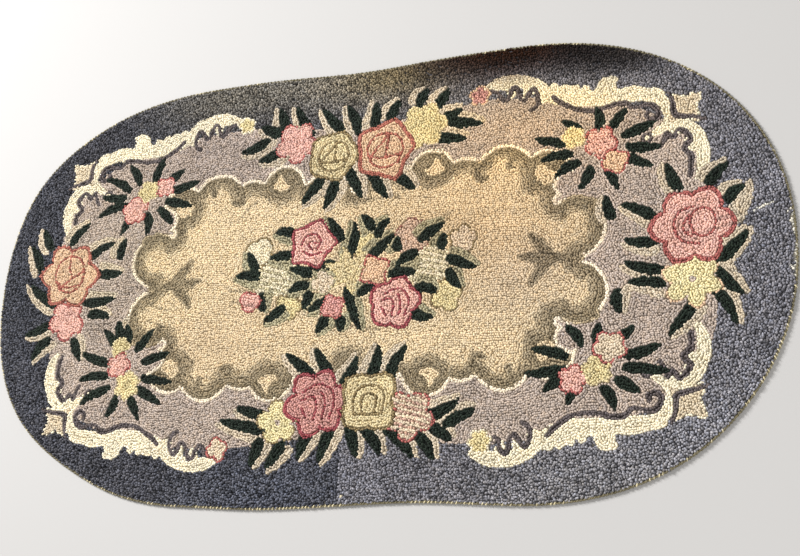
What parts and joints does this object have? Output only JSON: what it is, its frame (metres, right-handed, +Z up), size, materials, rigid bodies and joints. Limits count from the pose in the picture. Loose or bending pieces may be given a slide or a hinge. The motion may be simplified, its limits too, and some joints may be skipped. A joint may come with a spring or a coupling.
{
  "type": "hooked rug",
  "caption": "Flat oval hooked rug: looped wool pile on a woven foundation, with a tape binding sewn round its edge.",
  "frame": {"origin": "middle of the rug's bounding box, on the surface it lies on", "axes": "+X along the rug's length, +Y across its width, +Z up out of the pile"},
  "size_m": [1.5596, 0.8458, 0.0075],
  "materials": {
    "wool_pile": "matte",
    "binding_tape": "matte"
  },
  "bodies": {
    "root": {"hooked_field": "wool_pile", "binding": "binding_tape"}
  },
  "joints": []
}
